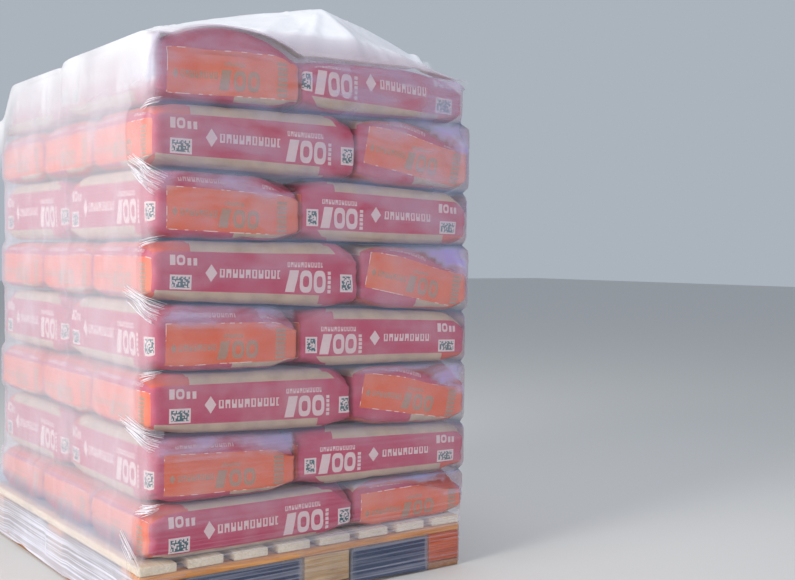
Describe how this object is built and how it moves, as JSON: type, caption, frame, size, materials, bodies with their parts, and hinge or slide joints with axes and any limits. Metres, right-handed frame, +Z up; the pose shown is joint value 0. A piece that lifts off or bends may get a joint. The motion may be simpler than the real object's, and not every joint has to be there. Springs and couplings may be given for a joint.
{
  "type": "pallet of sacks",
  "caption": "Stack of filled paper sacks, laid in interlocking layers on a fork-entry wooden pallet, wrapped in stretch film under a loose, tented plastic cover sheet.",
  "frame": {"origin": "on the floor under the middle of the pallet, on the underside of its middle bottom board", "axes": "+X to the right along the short side where the deck boards end, +Y to the back along the deck boards, +Z up"},
  "size_m": [1.0331, 1.2151, 1.6037],
  "materials": {
    "sack_paper": "printed kraft paper in crimson, with orange panels on the ends and cream edges",
    "deck_wood": "rough sawn, pale",
    "stringer_wood": "rough sawn, orange brown",
    "block_wood": "rough sawn, with end grain",
    "bottom_wood": "rough sawn, reddish brown",
    "stretch_film": "clear stretch film in several turns, hazy and streaked",
    "cover_sheet": "milky thin plastic sheet, creased"
  },
  "bodies": {
    "root": {"sack_layer_1": "sack_paper", "sack_layer_2": "sack_paper", "sack_layer_3": "sack_paper", "sack_layer_4": "sack_paper", "sack_layer_5": "sack_paper", "sack_layer_6": "sack_paper", "sack_layer_7": "sack_paper", "sack_layer_8": "sack_paper", "deck_board_1": "deck_wood", "deck_board_2": "deck_wood", "deck_board_3": "deck_wood", "deck_board_4": "deck_wood", "deck_board_5": "deck_wood", "deck_board_6": "deck_wood", "deck_board_7": "deck_wood", "deck_board_8": "deck_wood", "stringer_board_front": "stringer_wood", "stringer_board_middle": "stringer_wood", "stringer_board_back": "stringer_wood", "block_left_front": "block_wood", "block_left_middle": "block_wood", "block_left_back": "block_wood", "block_middle_front": "block_wood", "block_middle_middle": "block_wood", "block_middle_back": "block_wood", "block_right_front": "block_wood", "block_right_middle": "block_wood", "block_right_back": "block_wood", "bottom_board_left": "bottom_wood", "bottom_board_middle": "bottom_wood", "bottom_board_right": "bottom_wood", "stretch_film": "stretch_film", "cover_sheet": "cover_sheet"}
  },
  "joints": []
}
